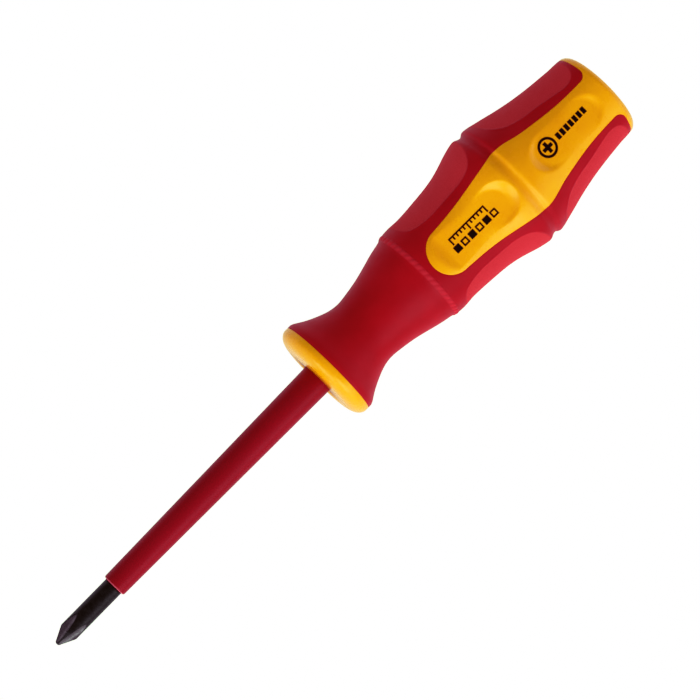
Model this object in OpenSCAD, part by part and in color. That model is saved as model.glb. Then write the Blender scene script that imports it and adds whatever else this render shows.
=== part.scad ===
// Insulated electrician's screwdriver with a size 1 cross-recess tip.
// Lengths are in millimetres. The tool lies along +X: its tip is at the origin,
// the handle's front face is at blade_length, and one handle window faces +Z.
// Every piece is drawn standing on its tip along Z, then laid down by lie_down().

/* [Blade] */
// Free length of the blade, from the tip to the handle's front face
blade_length = 80; // [60:1:150]
// Diameter of the bare steel shank behind the tip
shank_d = 4.5; // [4.4:0.1:5]
// Length of bare steel between the tip and the insulation
bare_length = 17.3; // [13:0.1:18]
// Diameter of the shank where plastic covers it, behind a small shoulder
covered_d = 4.0; // [3.8:0.1:4.1]
// Half of the tip's cone angle, in degrees
tip_half_angle = 26.5; // [25:0.5:28]
// Diameter of the tip's blunt end
tip_flat_d = 0.9; // [0.8:0.1:1.2]
// Length of the shank inside the handle
tang_length = 45; // [44:1:60]
// Width over the pressed wings that key the blade to the handle
wing_width = 8.4; // [7:0.1:9]
// Thickness of the pressed wings
wing_thickness = 1.5; // [1:0.1:2]

/* [Insulation] */
// Diameter of the blade's insulation at its front end
sleeve_front_d = 5.7; // [5.6:0.1:6.5]
// Diameter of the blade's insulation where it enters the handle
sleeve_rear_d = 7.3; // [6.8:0.1:8]
// Length of insulation held inside the handle
sleeve_insert = 12; // [8:1:20]

/* [Handle] */
// Length of the handle
handle_length = 89.2; // [88.8:0.1:91]
// Diameter of the guard collar at the front of the handle
collar_d = 24.6; // [24.2:0.1:25.2]
// Diameter at the waist of the neck
waist_d = 16.4; // [16:0.1:16.8]
// Largest diameter, at the ridge
ridge_d = 30.4; // [30.2:0.1:30.8]
// Diameter at the rear, just before the butt's rounding
butt_d = 22.1; // [21.8:0.1:22.4]
// Thickness of the soft grip over the hard core
grip_thickness = 1.9; // [1.6:0.1:2.2]
// Depth of the long pads sunk into the sides of the grip
pad_depth = 0.25; // [0.2:0.05:0.4]

/* [Windows] */
// Half width of a window at the ridge
window_half_ridge = 8.4; // [8.2:0.1:8.8]
// Half width of a window at its front end and near the butt
window_half_end = 5.5; // [5.2:0.1:5.8]
// Half width of the thumb rests sunk into a window
rest_half_width = 3.8; // [3.5:0.1:4.2]
// Thickness of the printed marks
ink = 0.05; // [0.05:0.01:0.1]

/* [Hidden] */
$fn = 64;
far = 40;                   // beyond every surface, for cutters

// Places along the handle, counted from its front face.
collar_end = 3.25;          // the grip begins behind the yellow collar
neck_end = 28.9;            // a fine groove ends the neck
ring = [31.3, 32.8];        // a raised ring, front and rear edge
window_front = 33.4;        // the windows' round front ends
front_pad = [34.3, 57.7];   // side pads before and behind the ridge
rear_pad = [62.1, 86.3];
groove = 59.2;              // groove just in front of the ridge
ridge = 60.9;
strip_end = handle_length - 2.2;  // the grip's side strips end here
front_rest = [39, 56.6];    // thumb rests before and behind the ridge
rear_rest = [65.2, 84.5];

// Other sizes of the handle.
collar_r = collar_d / 2;
waist_r = waist_d / 2;
ridge_r = ridge_d / 2;
butt_r = butt_d / 2;
collar_round = [2.4, 3.8];  // length and depth of the rounding of the collar's front edge
butt_round = 1.8;           // radius of the butt's edge
butt_dome = 0.3;            // height of the butt's shallow dome
window_round = 5.3;         // length of a window's round front end
scoop_height = [11.75, 11.13];  // a window's surface over the axis, from its front end to the rest
strip_corner = 2;           // radius of the strips' rear corners
pad_edge = 48.5;            // a pad's long edges, in degrees from the middle of the side
front_pad_round = [3.5, 4.5]; // lengths of a pad's elliptical front and rear ends
rear_pad_round = [8, 3.5];
front_floor = [11.13, 13.42];   // height of a rest's flat floor over the axis, at its two ends
rear_floor = [13.35, 10.5];
core_neck_r = waist_r - grip_thickness;
rib_places = [9, 14.5, 20]; // ribs on the core hold the grip in the neck
rib_height = 0.7;
rib_width = 1.6;

// Other sizes of the blade.
tip_cone_length = (shank_d - tip_flat_d) / 2 / tan(tip_half_angle);
flute_root = 0.42;          // distance of a flute's root from the axis, at the tip
flute_rise = 13.5;          // slope of the root towards the shank's surface
wing_places = [26, 36];     // front ends of the wings, from the handle's front face
wing_length = 7;
wing_corner = 1.2;
sleeve_bevel = 0.3;

// Printed marks: places are counted from the front end of their rest.
scale_line = [1, 1.8, 10.5];    // start, offset across the tool and length of a scale
scale_steps = 10;
tick = [0.9, 1.6];              // heights of a scale's short and long ticks
stroke = 0.34;                  // width of its lines
squares = [0.5, -0.9, 6];       // start, offset and number of a row of small squares
square_size = 1.6;
square_pitch = 2.16;
badge = [4.1, 0.68];            // centre of a ring with a cross in it
badge_r = 2.3;
badge_line = 0.55;
badge_cross = [2.6, 0.8];
blocks = [7.2, 0.75, 7];        // start, offset and number of a row of upright blocks
block_size = [0.95, 1.5];
block_pitch = 1.35;

// Slope of a smooth curve at point i of the list of points k.
function slope(k, i) =
    let (a = max(i - 1, 0), b = min(i + 1, len(k) - 1))
    (k[b][1] - k[a][1]) / (k[b][0] - k[a][0]);

// Point at share u of the way along stretch i of the smooth curve through k.
function between(k, i, u) =
    let (h = k[i + 1][0] - k[i][0])
    [k[i][0] + u * h,
     k[i][1] * (2*u*u*u - 3*u*u + 1) + slope(k, i) * h * (u*u*u - 2*u*u + u)
     + k[i + 1][1] * (3*u*u - 2*u*u*u) + slope(k, i + 1) * h * (u*u*u - u*u)];

// Smooth curve through the points k, each [place, radius], with n chords on each stretch.
function smooth(k, n = 2) =
    [for (i = [0:len(k) - 2]) for (j = [0:n - 1]) between(k, i, j / n), k[len(k) - 1]];

// The handle's outer profile as [place, radius], from the collar's front edge to the butt.
collar_edge = [for (a = [0:18:90])
    [collar_round[0] * (1 - cos(a)), collar_r - collar_round[1] * (1 - sin(a))]];
neck_curve = smooth([[4.2, collar_r], [5.2, 11.75], [6.5, 10.95], [9, 9.7], [11.6, waist_r + 0.46],
                     [14.5, waist_r], [17.1, waist_r + 0.2], [21, 9.04], [24.9, 10.02],
                     [neck_end, 11.03]]);
ring_curve = [[30.2, 11.2], [ring[0], 11.68], [ring[1], 11.88]];
front_curve = smooth([[window_front + 0.2, 11.85], [38.3, 11.95], [42.3, 12.25], [47.4, 12.78],
                      [50, 13.33], [52.7, 14.17], [55.3, 14.93], [57, ridge_r - 0.06]]);
groove_curve = [[groove - 1.1, ridge_r - 0.1], [groove, ridge_r - 0.6], [groove + 0.9, ridge_r - 0.1]];
rear_curve = smooth([[ridge, ridge_r], [62.7, 14.98], [64.7, 14.62], [67.8, 13.83], [70.9, 13.13],
                     [74.9, 12.4], [79, 11.9], [83.1, 11.53], [strip_end - 0.4, butt_r]]);
butt_edge = handle_length - butt_dome;
butt_flat = butt_r - butt_round;
butt_curve = concat(
    [for (a = [15:15:90]) [butt_edge - butt_round * (1 - sin(a)), butt_r - butt_round * (1 - cos(a))]],
    [[handle_length - butt_dome / 3, butt_flat * 0.67], [handle_length, butt_flat * 0.33]]);
outer_profile = concat(collar_edge, neck_curve, ring_curve, front_curve, groove_curve, rear_curve,
                       butt_curve);

// The core's surface under the grip, with its ribs.
function rib(s) = [[s, core_neck_r], [s, core_neck_r + rib_height],
                   [s + rib_width, core_neck_r + rib_height], [s + rib_width, core_neck_r]];
core_profile = concat(
    [[collar_end, core_neck_r]],
    [for (s = rib_places) each rib(s)],
    smooth([[24, core_neck_r], [ring[0], 9.4], [40, 12 - grip_thickness],
            [52, 13.8 - grip_thickness], [ridge, ridge_r - grip_thickness - 0.5],
            [72, 12.8 - grip_thickness], [strip_end, butt_r - grip_thickness]]));

// A window's outline on one side of its centre line, as [place, half width].
rear_half = window_half_end - 0.1;
window_curve = concat(
    [for (a = [0:15:90]) [window_front + window_round * (1 - cos(a)), window_half_end * sin(a)]],
    smooth([[43.1, window_half_end + 0.35], [48.3, 6.5], [52.6, 7.3], [56.8, window_half_ridge - 0.34],
            [60.5, window_half_ridge], [62.6, window_half_ridge - 0.2], [65.7, 7.4], [70.3, 6.55],
            [74.8, 5.9], [79.4, rear_half + 0.1], [strip_end - strip_corner - 1, rear_half]]),
    [for (a = [15:15:90]) [strip_end - strip_corner * (1 - sin(a)),
                           rear_half + strip_corner * (1 - cos(a))]]);

// Share of its full width that a pad has at a place: 1 but for its elliptical ends.
function pad_share(span, round, s) =
    let (from_end = min((s - span[0]) / round[0], (span[1] - s) / round[1], 1))
    sqrt(max(1 - pow(1 - from_end, 2), 0));

// A pad's outline on one side of its centre line, as [place, half width].
function pad_curve(span, round) =
    [for (a = [0:9:180])
        let (s = span[0] + (span[1] - span[0]) * (1 - cos(a)) / 2)
        [s, lookup(s, outer_profile) * sin(pad_edge * pad_share(span, round, s))]];

// Closed outline with both sides of a curve given as [place, half width].
function mirrored(curve) =
    concat([for (p = curve) [p[1], p[0]]],
           [for (i = [len(curve) - 1:-1:1]) if (curve[i][1] > 0) [-curve[i][1], curve[i][0]]]);

// Laid from standing on the tip to lying along +X, and moved to the handle's front face.
module lie_down() { rotate([0, 90, 0]) children(); }
module at_handle() { translate([0, 0, blade_length]) children(); }

// Children on both window sides of the handle.
module both_sides() { for (side = [0, 180]) rotate([0, 0, side]) children(); }

// Solid of revolution inside a profile, less an inset, closed along the axis.
module turned(profile, inset = 0) {
    last = profile[len(profile) - 1];
    rotate_extrude() polygon(concat(
        [[0, profile[0][0]]],
        [for (p = profile) [p[1] - inset, p[0]]],
        [[0, last[0]]]));
}

// Both windows, as prisms that run outwards from near the axis.
module window_prisms() {
    both_sides() translate([2, 0, 0]) rotate([90, 0, 90])
        linear_extrude(far) polygon(mirrored(window_curve));
}

// Where the hard core reaches the surface: the collar, the butt and the windows.
module core_zones() {
    cylinder(h = collar_end, r = far);
    translate([0, 0, strip_end]) cylinder(h = far, r = far);
    window_prisms();
}

// What the side pads take out of the grip's surface.
module pad_recesses() {
    difference() {
        both_sides() rotate([90, 0, 0]) linear_extrude(far) {
            polygon(mirrored(pad_curve(front_pad, front_pad_round)));
            polygon(mirrored(pad_curve(rear_pad, rear_pad_round)));
        }
        turned(outer_profile, pad_depth);
    }
}

// Children placed on a rest's flat floor: X points outwards, Z runs along the rest.
module on_floor(rest, floor_height) {
    rise = floor_height[1] - floor_height[0];
    translate([floor_height[0], 0, rest[0]])
        rotate([0, atan(rise / (rest[1] - rest[0])), 0]) children();
}

// A thumb rest: a slot with round ends, cut into a window down to its floor.
module rest_cut(rest, floor_height) {
    depth = 6;
    straight = rest[1] - rest[0] - 2 * rest_half_width;
    on_floor(rest, floor_height) translate([0, 0, rest_half_width]) {
        translate([0, -rest_half_width, 0]) cube([depth, 2 * rest_half_width, straight]);
        for (s = [0, straight])
            translate([0, 0, s]) rotate([0, 90, 0]) cylinder(h = depth, r = rest_half_width);
    }
}

// The scoop that leads down from a window's front end to its front rest.
module scoop_cut() {
    rise = scoop_height[1] - scoop_height[0];
    translate([scoop_height[0], -window_round, window_front])
        rotate([0, atan(rise / (front_rest[0] - window_front)), 0])
            translate([0, 0, -1]) cube([4, 2 * window_round, front_rest[0] - window_front + 1]);
}

// A thin printed bar on a floor: its start and length along the tool, its centre and width across.
module bar(start, length, offset, width, thickness = ink) {
    translate([0, -offset - width / 2, start]) cube([thickness, width, length]);
}

// One pair of wings pressed out of the shank.
module wing_pair() {
    half = wing_width / 2;
    curve = [[0, half - wing_corner], [wing_corner, half],
             [wing_length - wing_corner, half], [wing_length, half - wing_corner]];
    translate([0, wing_thickness / 2, 0]) rotate([90, 0, 0]) linear_extrude(wing_thickness)
        polygon(concat([for (p = curve) [p[1], p[0]]],
                       [for (i = [len(curve) - 1:-1:0]) [-curve[i][1], curve[i][0]]]));
}

// The covered part of the shank and its wings, from the insulation's front to the tang's end.
module covered_shank() {
    translate([0, 0, bare_length])
        cylinder(h = blade_length + tang_length - bare_length, d = covered_d);
    for (i = [0:1])
        at_handle() translate([0, 0, wing_places[i]]) rotate([0, 0, 90 * i]) wing_pair();
}

// A square bar whose leading edge is the root of one flute of the cross tip.
module flute() {
    bar = [8, 8, 14];
    translate([flute_root, 0, -0.5]) rotate([0, flute_rise, 0]) rotate([0, 0, -45]) cube(bar);
}

// Blade: tip, bare shank, covered shank and wings in one bar of steel.
module blade() {
    color("#2b2927") lie_down() {
        difference() {
            union() {
                cylinder(h = tip_cone_length, d1 = tip_flat_d, d2 = shank_d);
                translate([0, 0, tip_cone_length])
                    cylinder(h = bare_length - tip_cone_length, d = shank_d);
            }
            for (k = [0:3]) rotate([0, 0, 45 + 90 * k]) flute();
        }
        covered_shank();
    }
}

// Outer form of the insulation, which is also its socket in the core.
module sleeve_form() {
    translate([0, 0, bare_length])
        cylinder(h = sleeve_bevel, d1 = sleeve_front_d - 2 * sleeve_bevel, d2 = sleeve_front_d);
    translate([0, 0, bare_length + sleeve_bevel])
        cylinder(h = blade_length - bare_length - sleeve_bevel,
                 d1 = sleeve_front_d, d2 = sleeve_rear_d);
    at_handle() cylinder(h = sleeve_insert, d = sleeve_rear_d);
}

// Blade insulation: a tapered red sleeve moulded on the shank.
module blade_insulation() {
    color("#a5161f") lie_down() difference() {
        sleeve_form();
        covered_shank();
    }
}

// Handle core: hard yellow body with the guard collar, the windows and the butt.
module handle_core() {
    color("#f5b012") lie_down() difference() {
        at_handle() union() {
            turned(core_profile);
            intersection() {
                turned(outer_profile);
                core_zones();
            }
        }
        at_handle() both_sides() {
            rest_cut(front_rest, front_floor);
            rest_cut(rear_rest, rear_floor);
            scoop_cut();
        }
        sleeve_form();
        covered_shank();
    }
}

// Soft grip: red skin over the neck, with two strips that run back beside the windows.
module soft_grip() {
    color("#b01824") lie_down() at_handle() difference() {
        turned(outer_profile);
        turned(core_profile);
        core_zones();
        pad_recesses();
    }
}

// Front print: a short scale over a row of small squares.
module front_print() {
    step = (scale_line[2] - stroke) / scale_steps;
    color("#1c1613") lie_down() at_handle() rotate([0, 0, 180]) on_floor(front_rest, front_floor) {
        bar(scale_line[0], scale_line[2], scale_line[1], stroke);
        for (i = [0:scale_steps]) {
            height = tick[i % 5 == 0 ? 1 : 0];
            bar(scale_line[0] + i * step, stroke, scale_line[1] - height / 2, height);
        }
        for (i = [0:squares[2] - 1])
            difference() {
                bar(squares[0] + i * square_pitch, square_size, squares[1], square_size);
                if (i % 2 == 1)
                    translate([-ink, 0, 0])
                        bar(squares[0] + i * square_pitch + stroke, square_size - 2 * stroke,
                            squares[1], square_size - 2 * stroke, 3 * ink);
            }
    }
}

// Rear print: a ring with a cross in it, and a row of upright blocks.
module rear_print() {
    color("#1c1613") lie_down() at_handle() rotate([0, 0, 180]) on_floor(rear_rest, rear_floor) {
        translate([0, -badge[1], badge[0]]) rotate([0, 90, 0]) difference() {
            cylinder(h = ink, r = badge_r);
            translate([0, 0, -ink]) cylinder(h = 3 * ink, r = badge_r - badge_line);
        }
        for (size = [badge_cross, [badge_cross[1], badge_cross[0]]])
            bar(badge[0] - size[0] / 2, size[0], badge[1], size[1]);
        for (i = [0:blocks[2] - 1])
            bar(blocks[0] + i * block_pitch, block_size[0], blocks[1], block_size[1]);
    }
}

blade();
blade_insulation();
handle_core();
soft_grip();
front_print();
rear_print();
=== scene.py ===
"""Visual model of the insulated screwdriver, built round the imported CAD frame.

The tool lies along +X with its tip at the origin. Shapes are worked out in millimetres: a place is
counted from the handle's front face, and an angle round the axis goes from +Z towards +Y.
"""

import math

import bmesh
import bpy
import numpy as np
from mathutils import Matrix, Vector
from mathutils.geometry import delaunay_2d_cdt


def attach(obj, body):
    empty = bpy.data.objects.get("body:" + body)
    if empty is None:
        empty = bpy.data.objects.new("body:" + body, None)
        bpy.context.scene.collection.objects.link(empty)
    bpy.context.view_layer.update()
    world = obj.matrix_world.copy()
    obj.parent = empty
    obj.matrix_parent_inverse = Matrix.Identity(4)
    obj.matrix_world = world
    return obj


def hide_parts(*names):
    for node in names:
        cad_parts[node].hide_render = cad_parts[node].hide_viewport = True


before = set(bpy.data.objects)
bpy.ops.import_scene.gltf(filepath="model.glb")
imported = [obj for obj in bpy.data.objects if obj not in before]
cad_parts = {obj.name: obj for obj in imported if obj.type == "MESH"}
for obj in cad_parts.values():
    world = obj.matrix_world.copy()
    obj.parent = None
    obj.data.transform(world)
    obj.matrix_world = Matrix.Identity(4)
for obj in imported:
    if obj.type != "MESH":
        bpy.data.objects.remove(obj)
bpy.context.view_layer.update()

PER_METRE = 1000  # millimetres in a metre

# ---------------------------------------------------------------- driving sizes, in millimetres

BLADE_LENGTH = 80.0  # from the tip to the handle's front face
HANDLE_LENGTH = 89.2
BARE_LENGTH = 17.3  # bare steel in front of the insulation
TIP_R = 0.45  # blunt end of the tip
TIP_ROUND = 0.2  # length of that end's rounding
TIP_FLAT = 0.3  # square of the flat share of that end's radius
TIP_SLOPE = math.tan(math.radians(26.5))
TIP_BLEND = 0.12  # rounding between the tip's cone and the shank
BARE_R = 2.25  # bare shank
SHANK_R = 2.0  # covered shank
FLUTE_ROOT = 0.42  # distance of a flute's root from the axis, at the tip
FLUTE_RISE = math.tan(math.radians(13.5))
FLUTE_R = 1.4  # a flute's section is an arc of this radius
FLUTE_EDGE = 0.08  # rounding of a flute's edges
FLUTE_HIGHLIGHT_DEPTH = (0.02, 0.16)  # the steel goes from black to a lighter tone, a painted highlight, between these depths of a flute
WING_HALF = (0.75, 4.2)  # half thickness and half width of the wings pressed on the tang
WING_SPANS = ((26.0, 33.0), (36.0, 43.0))
SLEEVE_R = (2.85, 3.65)  # insulation, at its front end and in the handle
SLEEVE_EDGE = 0.45  # rounding of its front edge
SLEEVE_INSERT = 12.0  # length of insulation in the handle
TANG_LENGTH = 45.0  # length of steel in the handle

COLLAR_END = 3.25  # the grip begins behind the yellow collar
COLLAR_R = 12.3
COLLAR_FACE_R = 8.6  # flat part of its front face
COLLAR_ROUND = 2.5  # length of its rounded front
NECK_FINE = 29.0  # the neck's grid is finer from here, for the roped ring
RING_END = 32.7  # the neck's grid ends behind the roped ring
WINDOW_FRONT = 33.5  # front end of both windows
STRIP_END = HANDLE_LENGTH - 2.15  # rear edge of the grip's two side strips
STRIP_CORNER = 2.0  # rounding of a strip's rear corners
BUTT_ROUND = 1.85  # radius of the butt's edge
BUTT_DOME = 0.3  # height of its slightly domed end
BUTT_START = STRIP_END + 0.4  # the butt's first full circle
GRIP_DEPTH = 1.9  # thickness of the soft grip
GRIP_THICKER = (8, 2, 0.6)  # it gets thicker between these places, towards the collar, by this
CORE_LEAST_R = 6.2  # the core is never thinner
EDGE_ROLL = 0.14  # rounding of both edges along the seam of red and yellow

# The handle's outer profile, [place, radius].
PROFILE = [
    [3.25, 12.3], [4.2, 12.27], [5.2, 11.76], [6.5, 10.95], [9.0, 9.7], [11.6, 8.68], [14.5, 8.18],
    [17.1, 8.4], [21.0, 9.04], [24.9, 10.02], [28.9, 11.0], [30.2, 11.26], [31.5, 11.66],
    [32.9, 11.87], [35.0, 11.9], [38.3, 11.95], [42.3, 12.22], [47.4, 12.75], [50.0, 13.3],
    [52.7, 14.12], [55.3, 14.88], [56.9, 15.12], [57.9, 15.08], [58.6, 14.76], [59.3, 14.58],
    [59.9, 14.7], [60.45, 15.1], [60.9, 15.19], [61.5, 15.13], [62.7, 14.92], [64.7, 14.55],
    [67.8, 13.78], [70.9, 13.07], [74.9, 12.35], [79.0, 11.83], [83.1, 11.44], [STRIP_END, 11.04],
]
RIDGE = 59.4  # middle of the groove in front of the ridge
CREST = (RIDGE - 1, RIDGE + 3)  # the windows follow the outer form between these places
ROPE = (31.35, 0.68, 46)  # centre, half width and strands of the roped ring
ROPE_LEAD = 2.4  # length of ring over which a strand's slant shifts it by one strand
ROPE_RELIEF = (0.1, 0.15)  # height of its bead and of its strands
ROPE_FULLNESS = (0.7, 0.8)  # powers that make the sections of its bead and its strands fuller
ROPE_TONE = (0.6, 0.4)  # share of its own colour everywhere, and more on top of a strand

# A window's outline behind its round front end, [place, half width].
WINDOW_ROUND = (5.3, 5.42)  # length and half width of the round front end
WINDOW = [
    [WINDOW_FRONT + WINDOW_ROUND[0], WINDOW_ROUND[1]], [43.1, 5.74], [48.3, 6.4], [52.6, 7.22],
    [56.8, 8.02], [60.3, 8.42], [62.6, 8.2], [65.7, 7.4], [70.3, 6.55], [74.8, 5.9], [79.4, 5.5],
    [STRIP_END - 2.9, 5.4], [STRIP_END - STRIP_CORNER, 5.4],
]

# Outlines of the pads sunk into the sides, [place, degrees from the window's centre].
FRONT_PAD = [[34.0, 90], [34.4, 66], [35.8, 50], [39.9, 42.5], [46.0, 41.5], [52.6, 41.2],
             [54.8, 45.7], [56.8, 60], [57.7, 90]]
REAR_PAD = [[62.0, 90], [62.8, 66], [63.9, 55], [65.9, 47], [68.1, 44], [70.4, 42.6], [74.7, 41.8],
            [79.2, 38.5], [81.9, 36.8], [84, 39.5], [85.4, 47.5], [86.1, 62], [86.3, 90]]
PAD_DEPTH = 0.17
PAD_EDGE = 0.28  # half width of the step round a pad
PAD_BEAD = (0.07, 0.22)  # height and half width of a fine bead along that step
PAD_FADE = (0.3, 3.0)  # its depth fades from the second distance inside an end to the first outside

# Thumb rests in a window: [place, height over the axis] of the two ends of their flat floors.
FRONT_FLOOR = ([39.0, 11.13], [56.6, 13.42])
REAR_FLOOR = ([65.2, 13.35], [84.5, 10.5])
FRONT_SCOOP = (38.4, 0.75, 1.6)  # place of its end, slope and fillet of the way down to the floor
FRONT_REST = ((30.0, 55.0), 3.8, 1.05, 1.4)  # span, half width, slope and fillet of the walls
REAR_REST = ((66.2, 83.2), 3.6, 0.8, 0.9)
REST_EDGES = (0.3, 0.4)  # rounding between each rest and the outer form

# How fine the meshes are.
COLUMNS = 456  # points round the neck, the roped ring, the collar and the butt
BLADE_COLUMNS = 320
SLEEVE_COLUMNS = 160
SEAM_STEP = 0.2
STRIP_STEP = 0.29
WINDOW_STEP = 0.23
HIDDEN_STEP = 1.6  # under the grip, where nothing is seen
HIDDEN_ROWS = 22
NECK_ROWS = (40, 32)  # rings of the neck, and of its rear part with the roped ring
PAD_STEP = 0.24
PAD_LINES = (-1.7, -0.9, 0, 0.9)  # mesh lines beside a pad's outline, as shares of PAD_EDGE
ROLL_STEPS = 4  # points on a rolled seam edge
ROUND_STEPS = 24  # points on the roundings of the collar and the butt
DOME_STEPS = 16  # points from the butt's edge to its middle
LEAST_GAP = 0.05  # rings on the butt's rounding are at least this far from its first circle
SLEEVE_STEPS = (10, 40)  # points on the rounding of the insulation's front edge, and along it
BLADE_RINGS = [  # rings of the bare blade: from, to and how many
    (0, TIP_ROUND, 8),
    (0.25, 9.0, 130),  # to just past its flutes
    (9.6, BARE_LENGTH, 14),
]
STEP_GAP = 0.01  # the two rings of a sudden step in the blade are this far apart
WELD = 2e-4  # size of the cells in which points are welded
WELD_SHIFT = 0.237  # keeps round coordinates off the cells' edges
FILL_GAP = 0.6  # share of a step that a patch's grid keeps away from its lines
SAME_POINT = 1e-7  # a patch's points closer than this are one
TINY = 1e-6  # keeps divisions from failing


# ---------------------------------------------------------------- curves and fields


def spline(points):
    """Natural cubic spline through points [place, value], as a function of place."""
    x, y = np.array(points, float).T
    h = np.diff(x)
    n = len(x)
    a = np.eye(n)
    b = np.zeros(n)
    for i in range(1, n - 1):
        a[i, i - 1 : i + 2] = h[i - 1], 2 * (h[i - 1] + h[i]), h[i]
        b[i] = 6 * ((y[i + 1] - y[i]) / h[i] - (y[i] - y[i - 1]) / h[i - 1])
    m = np.linalg.solve(a, b)

    def value_at(s):
        """The curve's value at a place, or at the nearest end."""
        s = np.clip(np.asarray(s, float), x[0], x[-1])
        i = np.clip(np.searchsorted(x, s) - 1, 0, n - 2)
        p, q = (x[i + 1] - s) / h[i], (s - x[i]) / h[i]
        bend = ((p**3 - p) * m[i] + (q**3 - q) * m[i + 1]) * h[i] ** 2 / 6
        return p * y[i] + q * y[i + 1] + bend

    return value_at


def ease(a, b, x):
    """0 at a, 1 at b, smooth between them."""
    t = np.clip((np.asarray(x, float) - a) / (b - a), 0, 1)
    return t * t * (3 - 2 * t)


def soft_min(a, b, width):
    """The lower of two heights, with a rounded change of that width."""
    overlap = np.clip(width - np.abs(a - b), 0, None) / width
    return np.minimum(a, b) - overlap**2 * width / 4


turned_profile = spline(PROFILE)
window_half = spline(WINDOW)


def profile(place):
    """Radius of the handle's turned form, with the rounding of the butt."""
    past = np.clip(np.asarray(place, float) - (HANDLE_LENGTH - BUTT_DOME - BUTT_ROUND), 0, BUTT_ROUND)
    return turned_profile(place) - BUTT_ROUND + np.sqrt(BUTT_ROUND**2 - past**2)


def core_radius(place):
    """Radius of the hard core under the grip."""
    start, stop, more = GRIP_THICKER
    return np.maximum(CORE_LEAST_R, turned_profile(place) - GRIP_DEPTH - more * ease(start, stop, place))


def window_angle(place, half):
    """Angle at which a window's edge of that half width lies on the outer form."""
    return np.arcsin(np.clip(half / profile(place), -1, 1))


def spaced(points, step):
    """Points along a line, evenly spaced at about that step, with its two ends kept."""
    points = np.asarray(points, float)
    run = np.concatenate([[0], np.cumsum(np.linalg.norm(np.diff(points, axis=0), axis=1))])
    stops = np.linspace(0, run[-1], max(2, round(run[-1] / step) + 1))
    return np.stack([np.interp(stops, run, points[:, k]) for k in (0, 1)], 1)


# The handle's skin is laid flat to be meshed: (place, angle times FLAT_R).
FLAT_R = 12.0
HALF_TURN = math.pi * FLAT_R
ARC_POINTS = 40  # points on each round end of the seam before it is evenly spaced
SIDE_POINTS = 300  # and on its long side
CURVE_POINTS = 10  # points between two corners of a pad's outline


def seam_side(step):
    """The seam from a window's front end to the middle of a strip's rear edge, laid flat."""
    a = np.linspace(0, math.pi / 2, ARC_POINTS)
    front = np.stack([WINDOW_FRONT + WINDOW_ROUND[0] * (1 - np.cos(a)), WINDOW_ROUND[1] * np.sin(a)], 1)
    s = np.linspace(WINDOW[0][0], WINDOW[-1][0], SIDE_POINTS)[1:]
    side = np.stack([s, window_half(s)], 1)
    corner = np.stack([STRIP_END - STRIP_CORNER * (1 - np.sin(a)),
                       WINDOW[-1][1] + STRIP_CORNER * (1 - np.cos(a))], 1)
    line = np.concatenate([front, side, corner[1:]])
    line[:, 1] = window_angle(line[:, 0], line[:, 1]) * FLAT_R
    line = np.concatenate([line, [[STRIP_END, HALF_TURN / 2]]])
    return spaced(line, step)


def seam(step):
    """The whole seam round the strip on the +Y side, from one window's front end to the other's."""
    near = seam_side(step)
    far = near[::-1][1:].copy()
    far[:, 1] = HALF_TURN - far[:, 1]
    return np.concatenate([near, far])


def shifted(line, distance):
    """An open line moved sideways, to its left, by a distance. Its ends move along the tool."""
    step = np.gradient(line, axis=0)
    normal = np.stack([-step[:, 1], step[:, 0]], 1)
    normal /= np.linalg.norm(normal, axis=1)[:, None]
    normal[0] = normal[-1] = -1, 0
    return line + normal * distance


def pad_loop(pad):
    """A pad's closed outline, laid flat."""
    near = np.array(pad, float)
    near[:, 1] = np.radians(near[:, 1]) * FLAT_R
    far = near[::-1][1:-1].copy()
    far[:, 1] = HALF_TURN - far[:, 1]
    corners = np.concatenate([near, far])
    # A closed Catmull-Rom curve through the corners.
    n = len(corners)
    out = []
    for i in range(n):
        p = [corners[(i + k) % n] for k in (-1, 0, 1, 2)]
        gap = [max(np.linalg.norm(p[k + 1] - p[k]), TINY) ** 0.5 for k in range(3)]
        m1 = gap[1] * ((p[1] - p[0]) / gap[0] - (p[2] - p[0]) / (gap[0] + gap[1]) + (p[2] - p[1]) / gap[1])
        m2 = gap[1] * ((p[2] - p[1]) / gap[1] - (p[3] - p[1]) / (gap[1] + gap[2]) + (p[3] - p[2]) / gap[2])
        for t in np.arange(CURVE_POINTS) / CURVE_POINTS:
            out.append(
                (2 * t**3 - 3 * t**2 + 1) * p[1] + (t**3 - 2 * t**2 + t) * m1
                + (3 * t**2 - 2 * t**3) * p[2] + (t**3 - t**2) * m2
            )
    return np.array(out)


def is_inside(points, loop):
    """Which flat points are inside a closed loop."""
    count = np.zeros(len(points), int)
    x, y = points.T
    for (ax, ay), (bx, by) in zip(loop, np.roll(loop, -1, 0)):
        if ay != by:
            level = (ay > y) != (by > y)
            count += level & (x < ax + (y - ay) / (by - ay) * (bx - ax))
    return count % 2 == 1


def signed_distance(points, loop):
    """Distance of flat points from a closed loop, positive inside."""
    x, y = points.T
    nearest = np.full(len(points), np.inf)
    for (ax, ay), (bx, by) in zip(loop, np.roll(loop, -1, 0)):
        dx, dy = bx - ax, by - ay
        t = np.clip(((x - ax) * dx + (y - ay) * dy) / max(dx * dx + dy * dy, TINY**2), 0, 1)
        nearest = np.minimum(nearest, (x - ax - t * dx) ** 2 + (y - ay - t * dy) ** 2)
    return np.sqrt(nearest) * np.where(is_inside(points, loop), 1, -1)


pads = [pad_loop(FRONT_PAD), pad_loop(REAR_PAD)]


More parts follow.
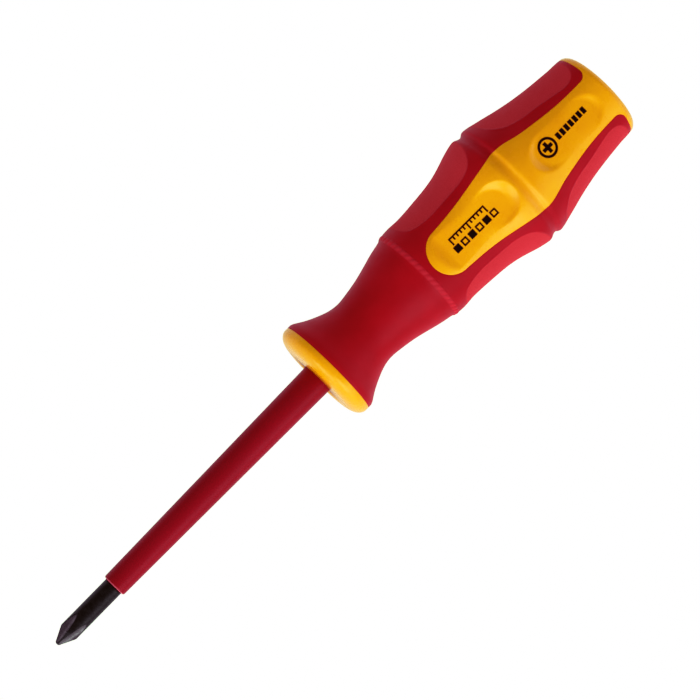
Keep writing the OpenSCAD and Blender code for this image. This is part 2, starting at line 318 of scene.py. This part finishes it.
def grip_skin(flat):
    """Radius of the grip's surface at flat points, and how far each point is in a pad and on the rope."""
    place = flat[:, 0]
    angle = flat[:, 1] / FLAT_R
    near = np.stack([place, np.abs((flat[:, 1] + HALF_TURN) % (2 * HALF_TURN) - HALF_TURN)], 1)
    gap = np.max([signed_distance(near, loop) for loop in pads], axis=0)
    pad = ease(-PAD_EDGE, PAD_EDGE, gap)
    bead = PAD_BEAD[0] * np.exp(-(((gap + PAD_EDGE) / PAD_BEAD[1]) ** 2))
    outside, inside = PAD_FADE
    fade = np.max([ease(loop[:, 0].min() - outside, loop[:, 0].min() + inside, place)
                   * ease(loop[:, 0].max() + outside, loop[:, 0].max() - inside, place)
                   for loop in pads], axis=0)
    middle, half, strands = ROPE
    rope = np.clip(1 - ((place - middle) / half) ** 2, 0, 1) ** ROPE_FULLNESS[0]
    turn = strands * angle + 2 * math.pi * (place - middle) / ROPE_LEAD
    strand = np.abs(np.sin(turn / 2)) ** ROPE_FULLNESS[1]
    relief = rope * (ROPE_RELIEF[0] + ROPE_RELIEF[1] * (strand - 0.5))
    surface = profile(place) - (PAD_DEPTH * pad - bead) * fade + relief
    return surface, pad, rope * (ROPE_TONE[0] + ROPE_TONE[1] * strand)


def slot_gap(place, across, span, half):
    """Distance outside a long slot with round ends, 0 in it."""
    along = place - np.clip(place, span[0] + half, span[1] - half)
    return np.clip(np.hypot(along, across) - half, 0, None)


def wall(gap, slope, fillet):
    """Height of a slot's wall at a distance outside its floor."""
    return slope * (np.sqrt(gap**2 + fillet**2) - fillet)


def on_line(ends, place):
    """Height of the straight floor through two [place, height] ends."""
    (a, ha), (b, hb) = ends
    return ha + (place - a) * (hb - ha) / (b - a)


def rest_height(place, across, floor, rest):
    """Height of a thumb rest: its flat floor with sloping walls round it."""
    span, half, slope, fillet = rest
    return floor + wall(slot_gap(place, across, span, half), slope, fillet)


def window_height(place, across):
    """Height of a window's surface over the axis, with its scoop and thumb rests."""
    base = np.sqrt(np.maximum(profile(place) ** 2 - across**2, 0))
    end, slope, fillet = FRONT_SCOOP
    floor = on_line(FRONT_FLOOR, place) + wall(np.clip(end - place, 0, None), slope, fillet)
    front = soft_min(base, rest_height(place, across, floor, FRONT_REST), REST_EDGES[0])
    floor = on_line(REAR_FLOOR, place)
    rear = soft_min(base, rest_height(place, across, floor, REAR_REST), REST_EDGES[1])
    return np.where(place < CREST[0], front, np.where(place > CREST[1], rear, base))


# ---------------------------------------------------------------- meshing


def tool_points(place, radius, angle):
    """Points in the tool's frame, in millimetres, from places, radii and angles."""
    place, radius, angle = np.broadcast_arrays(place, radius, angle)
    return np.stack(
        [BLADE_LENGTH + place, radius * np.sin(angle), radius * np.cos(angle)], -1
    ).reshape(-1, 3)


def grid_faces(rows, columns, closed=False):
    """Quads of a grid of rows times columns of points, joined round if closed."""
    i = np.arange(rows - 1)[:, None] * columns
    j = np.arange(columns if closed else columns - 1)[None, :]
    k = (j + 1) % columns
    return np.stack([i + j, i + k, i + columns + k, i + columns + j], -1).reshape(-1, 4)


def turned(line, columns):
    """Surface of revolution of a line [place, radius]."""
    line = np.array(line, float)
    angle = np.arange(columns) * 2 * math.pi / columns
    points = tool_points(line[:, 0][:, None], line[:, 1][:, None], angle[None, :])
    return points, grid_faces(len(line), columns, closed=True)


def quarter(steps):
    """Shares (1 - sine, 1 - cosine) along a quarter circle."""
    return [(1 - math.sin(a), 1 - math.cos(a)) for a in np.linspace(0, math.pi / 2, steps)]


def hexagons(low, high, step):
    """A triangular grid of points over a box."""
    rows = np.arange(low[1] + step / 3, high[1] - step / 3, step * math.sqrt(3) / 2)
    out = []
    for j, v in enumerate(rows):
        s = np.arange(low[0] + (j % 2) * step / 2, high[0], step)
        out.append(np.stack([s, np.full(len(s), v)], 1))
    return np.concatenate(out)


def spread(points, others, gap):
    """The points that are at least gap away from all the others, found with a coarse grid."""
    cells = {}
    for p in others:
        cells.setdefault((int(p[0] // gap), int(p[1] // gap)), []).append(p)
    keep = []
    for i, p in enumerate(points):
        c = int(p[0] // gap), int(p[1] // gap)
        near = (q for a in (-1, 0, 1) for b in (-1, 0, 1) for q in cells.get((c[0] + a, c[1] + b), ()))
        if all((p[0] - q[0]) ** 2 + (p[1] - q[1]) ** 2 >= gap * gap for q in near):
            keep.append(i)
    return points[keep]


def patch(loop, step, lines=()):
    """Triangles that fill a flat loop with an even grid, along given closed lines inside it."""
    loop = np.asarray(loop, float)
    fixed = np.concatenate([loop, *lines]) if len(lines) else loop
    fill = hexagons(loop.min(0), loop.max(0), step)
    fill = fill[is_inside(fill, loop)]
    fill = spread(fill, fixed, FILL_GAP * step)
    points = np.concatenate([fixed, fill])
    edges = [(i, (i + 1) % len(loop)) for i in range(len(loop))]
    first = len(loop)
    for line in lines:
        edges += [(first + i, first + (i + 1) % len(line)) for i in range(len(line))]
        first += len(line)
    result = delaunay_2d_cdt([Vector(p) for p in points], edges, [], 1, SAME_POINT, True)
    out = np.array([points[was[0]] if was else tuple(v) for v, was in zip(result[0], result[3])])
    faces = np.array(result[2])
    return out, faces[is_inside(out[faces].mean(1), loop)]


def piece(name, parts, material, replaced, attributes=()):
    """One closed smooth mesh from parts (points, faces, values), welded where they meet."""
    points = np.concatenate([p[0] for p in parts])
    values = {k: np.concatenate([p[2][k] if len(p) > 2 else np.zeros(len(p[0])) for p in parts])
              for k in attributes}
    keys = np.round(points / WELD + WELD_SHIFT).astype(np.int64)
    _, first, index = np.unique(keys, axis=0, return_index=True, return_inverse=True)
    index = index.reshape(-1).tolist()
    faces, start = [], 0
    for p in parts:
        for f in p[1]:
            face = list(dict.fromkeys(index[int(v) + start] for v in f))
            if len(face) > 2:
                faces.append(face)
        start += len(p[0])
    mesh = bpy.data.meshes.new(name)
    mesh.from_pydata((points[first] / PER_METRE).tolist(), [], faces)
    for k in attributes:
        layer = mesh.attributes.new(k, "FLOAT", "POINT")
        layer.data.foreach_set("value", values[k][first].astype(np.float32))
    shell = bmesh.new()
    shell.from_mesh(mesh)
    bmesh.ops.recalc_face_normals(shell, faces=shell.faces)
    shell.to_mesh(mesh)
    shell.free()
    mesh.shade_smooth()
    obj = bpy.data.objects.new(name, mesh)
    bpy.context.scene.collection.objects.link(obj)
    mesh.materials.append(material)
    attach(obj, "root")
    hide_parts(replaced)


# ---------------------------------------------------------------- pieces


def half_turned(part):
    """The same part turned half way round the axis."""
    return (part[0] * np.array([1, -1, -1]), *part[1:])


def circle(place, start, stop):
    """Flat points of the grid's circle at a place, from one column to another."""
    way = 1 if stop > start else -1
    columns = np.arange(start, stop + way, way)
    return np.stack([np.full(len(columns), place), columns * 2 * HALF_TURN / COLUMNS], 1)


def hidden_patch():
    """The core's surface under half of the grip, from the collar to the strip's rear edge."""
    steps = np.linspace(WINDOW_FRONT, COLLAR_END, HIDDEN_ROWS)[1:-1]
    down = np.stack([steps, np.full(len(steps), HALF_TURN)], 1)
    up = np.stack([steps[::-1], np.zeros(len(steps))], 1)
    loop = np.concatenate([seam(SEAM_STEP), down, circle(COLLAR_END, COLUMNS // 2, 0), up])
    flat, faces = patch(loop, HIDDEN_STEP)
    return tool_points(flat[:, 0], core_radius(flat[:, 0]), flat[:, 1] / FLAT_R), faces


def seam_band(side, skin):
    """The rolled edge along the seam, on one side of it, and the wall down to the hidden surface."""
    edge = seam(SEAM_STEP)
    layers = [skin(shifted(edge, side * EDGE_ROLL * out), EDGE_ROLL * drop)
              for out, drop in quarter(ROLL_STEPS)]
    layers.append(tool_points(edge[:, 0], core_radius(edge[:, 0]), edge[:, 1] / FLAT_R))
    return np.concatenate(layers), grid_faces(len(layers), len(edge))


def grip_points(flat, drop=0.0):
    """Points of the grip's surface over flat points."""
    return tool_points(flat[:, 0], grip_skin(flat)[0] - drop, flat[:, 1] / FLAT_R)


def window_points(flat, drop=0.0):
    """Points of the yellow surface over flat points, in either window or behind the strips."""
    place, angle = flat[:, 0], flat[:, 1] / FLAT_R
    across = profile(place) * np.sin(angle)
    up = window_height(place, across) * np.where(np.cos(angle) < 0, -1, 1)
    share = 1 - drop / np.hypot(up, across)
    return np.stack([BLADE_LENGTH + place, across * share, up * share], 1)


def parallel(loop, distance, step):
    """A closed line beside another, evenly spaced."""
    along = np.roll(loop, -1, 0) - np.roll(loop, 1, 0)
    normal = np.stack([-along[:, 1], along[:, 0]], 1) / np.linalg.norm(along, axis=1)[:, None]
    line = loop + normal * distance
    return spaced(np.concatenate([line, line[:1]]), step)[:-1]


def skin_part(flat, faces):
    """A part of the grip's surface with its pad and rope values."""
    radius, pad, rope = grip_skin(flat)
    return tool_points(flat[:, 0], radius, flat[:, 1] / FLAT_R), faces, {"pad": pad, "rope": rope}


def soft_grip(material):
    """The red grip: neck, roped ring and two side strips."""
    rows = np.concatenate([np.linspace(COLLAR_END + EDGE_ROLL, NECK_FINE, NECK_ROWS[0]),
                           np.linspace(NECK_FINE, RING_END, NECK_ROWS[1])[1:]])
    turn = np.arange(COLUMNS + 1) * 2 * HALF_TURN / COLUMNS
    neck = np.stack(np.broadcast_arrays(rows[:, None], turn[None, :]), -1).reshape(-1, 2)
    rim = float(profile(COLLAR_END + EDGE_ROLL))
    front = [[COLLAR_END + EDGE_ROLL * out, rim - EDGE_ROLL * drop] for out, drop in quarter(ROLL_STEPS)]
    front.append([COLLAR_END, float(core_radius(COLLAR_END))])
    parts = [skin_part(neck, grid_faces(len(rows), COLUMNS + 1)), turned(front, COLUMNS)]
    inset = shifted(seam(SEAM_STEP), EDGE_ROLL)
    loop = np.concatenate([inset, circle(RING_END, COLUMNS // 2, 0)])
    lines = [parallel(pad, share * PAD_EDGE, PAD_STEP) for pad in pads for share in PAD_LINES]
    strip = skin_part(*patch(loop, STRIP_STEP, lines))
    for part in (strip, seam_band(1, grip_points), hidden_patch()):
        parts += [part, half_turned(part)]
    piece("soft_grip_skin", parts, material, "soft_grip", ("pad", "rope"))


def handle_core(material):
    """The yellow core: collar, windows with their rests, butt, and the blade's socket."""
    collar = [[0, SLEEVE_R[1]], [0, COLLAR_FACE_R]]
    collar += [[COLLAR_ROUND * drop, COLLAR_R - (COLLAR_R - COLLAR_FACE_R) * out]
               for out, drop in quarter(ROUND_STEPS)[1:]]
    collar += [[COLLAR_END - EDGE_ROLL * out, COLLAR_R - EDGE_ROLL * drop]
               for out, drop in quarter(ROLL_STEPS)]
    collar.append([COLLAR_END, float(core_radius(COLLAR_END))])
    socket = [[0, SLEEVE_R[1]], [SLEEVE_INSERT, SLEEVE_R[1]], [SLEEVE_INSERT, SHANK_R],
              [TANG_LENGTH, SHANK_R], [TANG_LENGTH, 0]]
    edge = HANDLE_LENGTH - BUTT_DOME
    rings = [edge - BUTT_ROUND * out for out, _ in quarter(ROUND_STEPS)]
    rings = [BUTT_START] + [ring for ring in rings if ring > BUTT_START + LEAST_GAP]
    butt = [[ring, float(profile(ring))] for ring in rings]
    edge_r = butt[-1][1]
    butt += [[edge + BUTT_DOME * (1 - u * u), edge_r * u] for u in np.linspace(1, 0, DOME_STEPS)[1:]]
    parts = [turned(line, COLUMNS) for line in (collar, socket, butt)]
    inset = shifted(seam(SEAM_STEP), -EDGE_ROLL)
    right = inset[: len(inset) // 2 + 1]
    left = right[::-1][:-1] * np.array([1, -1])
    loop = np.concatenate([right, circle(BUTT_START, COLUMNS // 4, -COLUMNS // 4), left])
    flat, faces = patch(loop, WINDOW_STEP)
    for part in ((window_points(flat), faces), seam_band(-1, window_points), hidden_patch()):
        parts += [part, half_turned(part)]
    piece("handle_core_body", parts, material, "handle_core")


def sleeve(material):
    """The red insulation round the blade, with a rounded front edge."""
    front = BARE_LENGTH - BLADE_LENGTH
    line = [[front, SHANK_R], [front, SLEEVE_R[0] - SLEEVE_EDGE]]
    line += [[front + SLEEVE_EDGE * drop, SLEEVE_R[0] - SLEEVE_EDGE * out]
             for out, drop in quarter(SLEEVE_STEPS[0])[1:]]
    line += [[s, np.interp(s, [front, 0], SLEEVE_R)] for s in np.linspace(front + 1, 0, SLEEVE_STEPS[1])]
    line += [[SLEEVE_INSERT, SLEEVE_R[1]], [SLEEVE_INSERT, SHANK_R], [front, SHANK_R]]
    skin = turned(line, SLEEVE_COLUMNS)
    piece("insulation_sleeve", [skin], material, "blade_insulation")


def blade_skin(x, angle):
    """Radius of the steel blade at a distance from the tip and an angle, and the depth of its flutes."""
    blunt = TIP_R * np.sqrt(np.clip(1 - (1 - np.clip(x / TIP_ROUND, 0, 1)) ** 2, TIP_FLAT, 1))
    bare = soft_min(blunt + TIP_SLOPE * x, BARE_R, TIP_BLEND)
    depth = np.zeros(np.shape(bare + angle))
    for k in range(4):
        turn = angle - math.radians(45 + 90 * k)
        centre = FLUTE_ROOT + FLUTE_RISE * x + FLUTE_R
        inside = FLUTE_R**2 - (centre * np.sin(turn)) ** 2
        floor = centre * np.cos(turn) - np.sqrt(np.clip(inside, 0, None))
        cut = (inside > 0) & (np.cos(turn) > 0)
        depth = np.where(cut, np.maximum(depth, bare - floor), depth)
        bare = np.where(cut, soft_min(bare, floor, FLUTE_EDGE), bare)
    covered = np.full(np.shape(bare), SHANK_R)
    for k, (start, stop) in enumerate(WING_SPANS):
        turn = angle + math.pi / 2 * k
        wing = np.minimum(WING_HALF[1] / np.maximum(np.abs(np.cos(turn)), TINY),
                          WING_HALF[0] / np.maximum(np.abs(np.sin(turn)), TINY))
        on_wing = (x >= BLADE_LENGTH + start) & (x <= BLADE_LENGTH + stop)
        covered = np.where(on_wing, np.maximum(covered, wing), covered)
    return np.where(x <= BARE_LENGTH, bare, covered), depth


def blade(material):
    """The steel blade: cross tip with four flutes, bare shank, and the covered shank with its wings."""
    x = [np.linspace(*rings) for rings in BLADE_RINGS]
    x.append([BARE_LENGTH + STEP_GAP])
    for start, stop in WING_SPANS:
        x += [[BLADE_LENGTH + start - STEP_GAP, BLADE_LENGTH + start],
              [BLADE_LENGTH + stop, BLADE_LENGTH + stop + STEP_GAP]]
    x.append([BLADE_LENGTH + TANG_LENGTH])
    x = np.concatenate(x)
    angle = np.arange(BLADE_COLUMNS) * 2 * math.pi / BLADE_COLUMNS
    radius, depth = blade_skin(x[:, None], angle[None, :])
    x = np.concatenate([x[:1], x, x[-1:]])
    radius = np.concatenate([radius[:1] * 0, radius, radius[-1:] * 0])
    # Share of the painted flute highlight, 1 deep in a flute.
    flute_highlight = ease(*FLUTE_HIGHLIGHT_DEPTH, np.concatenate([depth[:1], depth, depth[-1:]]))
    points = tool_points(x[:, None] - BLADE_LENGTH, radius, angle[None, :])
    skin = points, grid_faces(len(x), BLADE_COLUMNS, closed=True), {"flute_highlight": flute_highlight.reshape(-1)}
    piece("blade_bar", [skin], material, "blade", ("flute_highlight",))


# ---------------------------------------------------------------- materials


class Shader:
    """A procedural material, with short ways to add and join nodes."""

    def __init__(self, name):
        """Starts a material from the standard surface, with places counted in the object's frame."""
        self.material = bpy.data.materials.new(name)
        self.material.use_nodes = True
        self.nodes = self.material.node_tree.nodes
        self.links = self.material.node_tree.links
        self.main = self.nodes["Principled BSDF"]
        self.place = self.add("ShaderNodeTexCoord").outputs["Object"]

    def add(self, kind, _out=None, **inputs):
        """Adds a node. Inputs are given by name, as values or as sockets to join."""
        node = self.nodes.new(kind)
        for key, value in inputs.items():
            self.put(node, key.replace("_", " "), value)
        return node.outputs[_out] if _out is not None else node

    def put(self, node, key, value):
        """Sets or joins an input of a node."""
        socket = node.inputs[int(key) if key.isdigit() else key]
        if isinstance(value, bpy.types.NodeSocket):
            self.links.new(value, socket)
        else:
            socket.default_value = value

    def attribute(self, name):
        """A value stored on the mesh's points."""
        node = self.nodes.new("ShaderNodeAttribute")
        node.attribute_name = name
        return node.outputs["Fac"]

    def noise(self, size_mm, detail=2.0, stretch=(1, 1, 1)):
        """Noise between 0 and 1 with features of about that size."""
        mapping = self.add("ShaderNodeMapping", "Vector", Vector=self.place, Scale=stretch)
        return self.add("ShaderNodeTexNoise", 0, Vector=mapping, Detail=detail,
                        Scale=PER_METRE / size_mm)

    def ramp(self, value, low, high, at_low=0.0, at_high=1.0):
        """A value mapped from one range to another."""
        node = self.add("ShaderNodeMapRange", **{"Value": value, "From Min": low, "From Max": high,
                                                 "To Min": at_low, "To Max": at_high})
        return node.outputs["Result"]

    def math(self, operation, a, b=0.0):
        """The result of a calculation with two values."""
        node = self.nodes.new("ShaderNodeMath")
        node.operation = operation
        self.put(node, "0", a)
        self.put(node, "1", b)
        return node.outputs[0]

    def mix(self, share, a, b):
        """A mix of two colours."""
        node = self.nodes.new("ShaderNodeMix")
        node.data_type = "RGBA"
        self.put(node, "0", share)
        self.put(node, "6", a)
        self.put(node, "7", b)
        return node.outputs[2]

    def finish(self, color, roughness, height, distance_mm, **others):
        """Joins colour, roughness and bump to the surface."""
        bump = self.add("ShaderNodeBump", "Normal", Height=height, Strength=1.0,
                        Distance=distance_mm / PER_METRE)
        self.put(self.main, "Base Color", color)
        self.put(self.main, "Roughness", roughness)
        self.put(self.main, "Normal", bump)
        for key, value in others.items():
            self.put(self.main, key.replace("_", " "), value)
        return self.material


def linear(red, green, blue):
    """A colour given as display values from 0 to 255, as linear values."""
    return tuple(((c / 255 + 0.055) / 1.055) ** 2.4 if c > 10 else c / 255 / 12.92
                 for c in (red, green, blue)) + (1.0,)


# Darker and lighter tone of each material, as display values.
YELLOW = [(251, 173, 0), (255, 179, 0)]
GRIP = [(188, 13, 27), (195, 16, 30)]
GRIP_PAD = [(209, 57, 58), (221, 73, 72)]
GRIP_ROPE = (211, 50, 58)
SLEEVE = [(149, 9, 25), (157, 12, 29)]
# Painted highlight: a paler pink tone on the insulation's rounded front rim, where light catches it.
SLEEVE_RIM_HIGHLIGHT = (214, 105, 112)
SLEEVE_RIM_HIGHLIGHT_SPAN = (0.06, 0.3)  # the painted highlight on the rim fades between these distances behind its front edge
GRIP_ROUGHER = (0.22, 0.12)  # roughness added in a pad and on the roped ring
GRIP_FINE = 0.12  # height of the plain skin's unevenness, as a share of the pads' grain
STEEL = [(30, 40, 34), (44, 56, 48)]
# Painted highlight: a lighter steel tone inside the flutes.
STEEL_FLUTE_HIGHLIGHT = [(86, 92, 89), (106, 112, 109)]
INK = [(14, 8, 6), (22, 14, 10)]


def tones(shader, share, pair):
    """A mix of a material's two tones."""
    return shader.mix(share, linear(*pair[0]), linear(*pair[1]))


def yellow_plastic():
    """Hard yellow plastic, semi-gloss, with a faint mottle."""
    s = Shader("yellow_core_plastic")
    color = tones(s, s.ramp(s.noise(size_mm=7, detail=3), low=0.35, high=0.65), YELLOW)
    skin = s.noise(size_mm=0.35)
    rough = s.ramp(s.noise(size_mm=3, detail=3), low=0.3, high=0.7, at_low=0.24, at_high=0.32)
    return s.finish(color, rough, skin, distance_mm=0.0015, Specular_IOR_Level=0.42,
                    Specular_Tint=(1.0, 0.9, 0.6, 1.0))


def grip_rubber():
    """Satin red soft plastic, paler on the roped ring, paler, rougher and finely grained in the pads."""
    s = Shader("red_grip_rubber")
    pad, rope = s.attribute("pad"), s.attribute("rope")
    base = tones(s, s.ramp(s.noise(size_mm=6, detail=3), low=0.35, high=0.65), GRIP)
    grain = s.noise(size_mm=0.16, detail=3)
    padded = tones(s, s.ramp(grain, low=0.35, high=0.7), GRIP_PAD)
    color = s.mix(rope, s.mix(pad, base, padded), linear(*GRIP_ROPE))
    plain = s.ramp(s.noise(size_mm=2, detail=3), low=0.3, high=0.7, at_low=0.42, at_high=0.5)
    rough = s.math("ADD", s.math("MULTIPLY", pad, GRIP_ROUGHER[0]), plain)
    rough = s.math("ADD", rough, s.math("MULTIPLY", rope, GRIP_ROUGHER[1]))
    fine = s.math("MULTIPLY", s.noise(size_mm=0.3), GRIP_FINE)
    height = s.math("ADD", fine, s.math("MULTIPLY", grain, pad))
    return s.finish(color, rough, height, distance_mm=0.02, Specular_IOR_Level=0.2,
                    Diffuse_Roughness=0.8)


def sleeve_plastic():
    """Smooth dark red plastic drawn out along the blade, with a painted highlight on its front rim."""
    s = Shader("red_sleeve_plastic")
    mottle = s.noise(size_mm=8, detail=3, stretch=(0.4, 1, 1))
    color = tones(s, s.ramp(mottle, low=0.35, high=0.65), SLEEVE)
    along = s.add("ShaderNodeSeparateXYZ", "X", Vector=s.place)
    near, far = ((BARE_LENGTH + behind) / PER_METRE for behind in SLEEVE_RIM_HIGHLIGHT_SPAN)
    # Painted highlight along the front rim of the insulation.
    rim = s.ramp(along, low=near, high=far, at_low=1, at_high=0)
    color = s.mix(rim, color, linear(*SLEEVE_RIM_HIGHLIGHT))
    wear = s.noise(size_mm=2, detail=3, stretch=(0.3, 1, 1))
    rough = s.ramp(wear, low=0.3, high=0.7, at_low=0.36, at_high=0.46)
    return s.finish(color, rough, s.noise(size_mm=0.3), distance_mm=0.002, Specular_IOR_Level=0.22)


def phosphate_steel():
    """Black phosphated steel, with a lighter tone painted in the flutes as a highlight."""
    s = Shader("black_phosphate_steel")
    tone = s.ramp(s.noise(size_mm=0.9, detail=4), low=0.35, high=0.7)
    # Painted highlight: the flutes get the lighter steel tone.
    color = s.mix(s.attribute("flute_highlight"), tones(s, tone, STEEL), tones(s, tone, STEEL_FLUTE_HIGHLIGHT))
    rough = s.ramp(s.noise(size_mm=0.4, detail=3), low=0.3, high=0.7, at_low=0.34, at_high=0.46)
    return s.finish(color, rough, s.noise(size_mm=0.12, detail=3), distance_mm=0.003, Metallic=0.55,
                    Specular_Tint=(0.75, 1.0, 0.87, 1.0))


def print_ink():
    """Matt black printing ink."""
    s = Shader("black_print_ink")
    color = tones(s, s.ramp(s.noise(size_mm=0.25, detail=3), low=0.35, high=0.7), INK)
    rough = s.ramp(s.noise(size_mm=0.3), low=0.3, high=0.7, at_low=0.5, at_high=0.62)
    return s.finish(color, rough, s.noise(size_mm=0.1), distance_mm=0.002, Specular_IOR_Level=0.15)


handle_core(yellow_plastic())
soft_grip(grip_rubber())
sleeve(sleeve_plastic())
blade(phosphate_steel())
ink = print_ink()
for name in ("front_print", "rear_print"):
    for material_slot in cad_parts[name].material_slots:
        material_slot.material = ink


# ---------------------------------------------------------------- light and camera

SUN_WIDTH = 40  # degrees across which each light is spread
# Soft lights: [name, angle from +Z, angle from +X towards +Y, strength].
SUNS = [
    ("key", 60, 226, 1.1),
    ("side", 60, 270, 0.5),
    ("side_rear", 60, 315, 0.2),
    ("low_tip", 86, 180, 1.0),
    ("low_corner", 86, 235, 0.2),
    ("low_butt", 88, 320, 0.35),
    ("low_back", 88, 135, 0.15),
    ("low_end", 88, 0, 0.3),
]
FLOOR_Z = -0.016  # metres, just under the handle
FLOOR_HALF = 1.5
SHOWN = 1.0  # brightness of the floor and the surroundings in the picture
AROUND = 0.46  # brightness of what they throw on the tool
AROUND_MIRRORED = 0.12  # and of what the tool's surfaces mirror of the surroundings
FLOOR_MIRRORED = 0.8  # and of the floor

TARGET = (0.0894, -0.0007, 0.0)  # metres
DISTANCE = 0.65  # metres from there to the camera
NEAREST = 0.01  # metres in front of the camera that aren't drawn
LENS = 153.9  # millimetres
SENSOR = 36  # millimetres
LEAN_X = math.radians(5.6)  # the camera leans towards the tip
LEAN_Y = math.radians(5.5)  # and towards the +Y side
ROLL = math.radians(45.27)  # angle of the tool in the picture

# The picture's grade: green and blue get more contrast than red, as [linear in, linear out].
RED_GRADE = [(0.45, 0.45), (0.78, 0.845)]
GREEN_GRADE = [(0.02, 0.008), (0.13, 0.085), (0.25, 0.21), (0.36, 0.37), (0.5, 0.58)]
BLUE_GRADE = [(0.006, 0.0015), (0.02, 0.012), (0.2, 0.18)]


def turned_to(place, target, up):
    """A matrix at a place that looks at a target, with its top towards up."""
    back = (Vector(place) - Vector(target)).normalized()
    right = Vector(up).cross(back).normalized()
    top = back.cross(right)
    matrix = Matrix((right, top, back)).transposed().to_4x4()
    matrix.translation = Vector(place)
    return matrix


def soft_sun(name, zenith, azimuth, strength):
    """A wide, soft light from a direction: angle from +Z, and angle from +X towards +Y."""
    light = bpy.data.lights.new(name, "SUN")
    light.angle = math.radians(SUN_WIDTH)
    light.energy = strength
    obj = bpy.data.objects.new(name, light)
    bpy.context.scene.collection.objects.link(obj)
    z, a = math.radians(zenith), math.radians(azimuth)
    towards = Vector((math.sin(z) * math.cos(a), math.sin(z) * math.sin(a), math.cos(z)))
    obj.rotation_mode = "QUATERNION"
    obj.rotation_quaternion = towards.to_track_quat("Z", "Y")


def pale_light(tree, kind, strength_mirrored):
    """A plain pale light that is white in the picture and softer on the tool."""
    shown, around = tree.nodes.new(kind), tree.nodes.new(kind)
    shown.inputs["Color"].default_value = around.inputs["Color"].default_value = (1, 1, 1, 1)
    shown.inputs["Strength"].default_value = SHOWN
    path = tree.nodes.new("ShaderNodeLightPath")
    mirrored = tree.nodes.new("ShaderNodeMapRange")
    mirrored.inputs["To Min"].default_value = AROUND
    mirrored.inputs["To Max"].default_value = strength_mirrored
    pick = tree.nodes.new("ShaderNodeMixShader")
    tree.links.new(path.outputs["Is Glossy Ray"], mirrored.inputs["Value"])
    tree.links.new(mirrored.outputs["Result"], around.inputs["Strength"])
    tree.links.new(path.outputs["Is Camera Ray"], pick.inputs[0])
    tree.links.new(around.outputs[0], pick.inputs[1])
    tree.links.new(shown.outputs[0], pick.inputs[2])
    return pick.outputs[0]


def pale_floor():
    """A plain pale floor under the tool. It shows no shadow, and isn't seen from below."""
    material = bpy.data.materials.new("pale_floor")
    material.use_nodes = True
    tree = material.node_tree
    light = pale_light(tree, "ShaderNodeEmission", FLOOR_MIRRORED)
    side = tree.nodes.new("ShaderNodeNewGeometry")
    clear = tree.nodes.new("ShaderNodeBsdfTransparent")
    mix = tree.nodes.new("ShaderNodeMixShader")
    tree.links.new(side.outputs["Backfacing"], mix.inputs[0])
    tree.links.new(light, mix.inputs[1])
    tree.links.new(clear.outputs[0], mix.inputs[2])
    tree.links.new(mix.outputs[0], tree.nodes["Material Output"].inputs["Surface"])
    corners = [(x * FLOOR_HALF, y * FLOOR_HALF, FLOOR_Z) for x, y in ((-1, -1), (1, -1), (1, 1), (-1, 1))]
    mesh = bpy.data.meshes.new("floor")
    mesh.from_pydata(corners, [], [(0, 1, 2, 3)])
    mesh.materials.append(material)
    obj = bpy.data.objects.new("floor", mesh)
    bpy.context.scene.collection.objects.link(obj)


def pale_surroundings():
    """Plain pale light from all round."""
    world = bpy.data.worlds.new("world")
    bpy.context.scene.world = world
    world.use_nodes = True
    tree = world.node_tree
    light = pale_light(tree, "ShaderNodeBackground", AROUND_MIRRORED)
    tree.links.new(light, tree.nodes["World Output"].inputs["Surface"])


def front_camera():
    """The camera in front of the window with the prints, with the tool's tip at the lower left."""
    data = bpy.data.cameras.new("camera")
    data.sensor_width = SENSOR
    data.lens = LENS
    data.clip_start = NEAREST
    camera = bpy.data.objects.new("camera", data)
    bpy.context.scene.collection.objects.link(camera)
    direction = Vector((-math.sin(LEAN_X), math.sin(LEAN_Y), 1)).normalized()
    place = Vector(TARGET) + direction * DISTANCE
    camera.matrix_world = turned_to(place, TARGET, (math.sin(ROLL), math.cos(ROLL), 0))
    bpy.context.scene.camera = camera


def grade_picture():
    """Sets the picture's colour curves."""
    view = bpy.context.scene.view_settings
    view.view_transform = "Standard"
    view.look = "None"
    view.use_curve_mapping = True
    for curve, points in zip(view.curve_mapping.curves, (RED_GRADE, GREEN_GRADE, BLUE_GRADE)):
        for place, value in points:
            curve.points.new(place, value)
    view.curve_mapping.update()


front_camera()
for sun in SUNS:
    soft_sun(*sun)
pale_floor()
pale_surroundings()
grade_picture()
